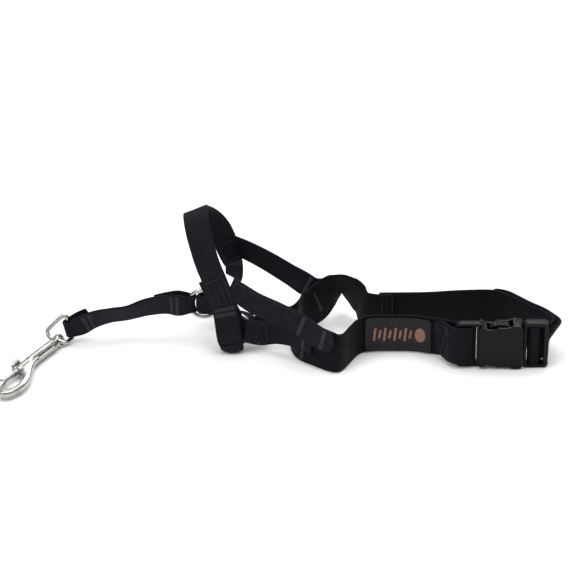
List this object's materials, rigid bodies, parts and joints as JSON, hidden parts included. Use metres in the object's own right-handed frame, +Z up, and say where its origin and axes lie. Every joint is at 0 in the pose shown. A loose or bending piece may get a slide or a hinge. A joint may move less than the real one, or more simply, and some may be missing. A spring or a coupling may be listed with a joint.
{
  "type": "dog head halter",
  "caption": "Black webbing head halter with noseband, neck strap, side release buckle and a link strap ending in a swivel bolt snap.",
  "frame": {"origin": "under the middle of the halter, on the surface that it lies on", "axes": "+X along the halter from the bolt snap to the bend of the neck strap, +Z up, -Y towards the side with the label and the buckle"},
  "size_m": [0.3388, 0.1108, 0.0877],
  "materials": {
    "webbing": "woven nylon",
    "label": "satin",
    "buckle": "satin moulded",
    "nickel": "nickel plated",
    "spring_steel": "plain"
  },
  "bodies": {
    "halter": {"noseband": "webbing", "cheek_strap_near": "webbing", "cheek_strap_far": "webbing", "lower_strap_near": "webbing", "lower_strap_far": "webbing", "control_loop": "webbing", "neck_strap_near": "webbing", "neck_strap_far": "webbing", "neck_label": "label", "buckle_female": "buckle", "buckle_male": "buckle"},
    "near_ring": {"side_ring_near": "nickel"},
    "far_ring": {"side_ring_far": "nickel"},
    "control_ring": {"lead_ring": "nickel"},
    "link": {"link_strap": "webbing"},
    "bail": {"snap_bail": "nickel"},
    "swivel": {"snap_swivel_eye": "nickel"},
    "snap": {"snap_body": "nickel", "snap_spring": "spring_steel"},
    "bolt": {"snap_plunger": "nickel", "snap_thumb_knob": "nickel"},
    "prong_upper": {"buckle_prong_upper": "buckle"},
    "prong_lower": {"buckle_prong_lower": "buckle"}
  },
  "joints": [
    {"name": "near_ring_spin", "type": "hinge", "parent": "halter", "child": "near_ring", "pos_m": [-0.0279, 0.00609, 0.0128], "axis": [0, -0.866, 0.5], "continuous": true},
    {"name": "far_ring_spin", "type": "hinge", "parent": "halter", "child": "far_ring", "pos_m": [-0.0319, 0.03459, 0.0136], "axis": [1, 0, 0], "continuous": true},
    {"name": "lead_ring_turn", "type": "hinge", "parent": "halter", "child": "control_ring", "pos_m": [-0.0363, 0.01959, 0.024], "axis": [0, 0, 1], "range_deg": [-12, 12]},
    {"name": "link_turn", "type": "hinge", "parent": "control_ring", "child": "link", "pos_m": [-0.0555, 0.01959, 0.024], "axis": [0, 0, 1], "range_deg": [-20, 20]},
    {"name": "bail_turn", "type": "hinge", "parent": "link", "child": "bail", "pos_m": [-0.1258, 0.01459, 0.0028], "axis": [-0.2425, 0.0226, 0.9699], "range_deg": [-25, 25]},
    {"name": "eye_swing", "type": "hinge", "parent": "bail", "child": "swivel", "pos_m": [-0.1343, 0.00869, 0.0041], "axis": [0.9475, -0.1093, -0.3006], "range_deg": [-60, 8]},
    {"name": "snap_swivel", "type": "hinge", "parent": "swivel", "child": "snap", "pos_m": [-0.1343, 0.00869, 0.0041], "axis": [-0.5344, -0.8453, 0], "continuous": true},
    {"name": "bolt_pull", "type": "slide", "parent": "snap", "child": "bolt", "axis": [0.5344, 0.8453, 0], "range_m": [0, 0.01], "stiffness_N_per_m": 300, "springref_m": -0.004, "deforming": ["snap_spring"]},
    {"name": "prong_upper_squeeze", "type": "hinge", "parent": "halter", "child": "prong_upper", "pos_m": [0.1447, -0.01341, 0.025], "axis": [0, 1, 0], "range_deg": [-9, 0], "stiffness_Nm_per_rad": 0.2},
    {"name": "prong_lower_squeeze", "type": "hinge", "parent": "halter", "child": "prong_lower", "pos_m": [0.1447, -0.01341, 0.0056], "axis": [0, 1, 0], "range_deg": [0, 9], "stiffness_Nm_per_rad": 0.2}
  ]
}
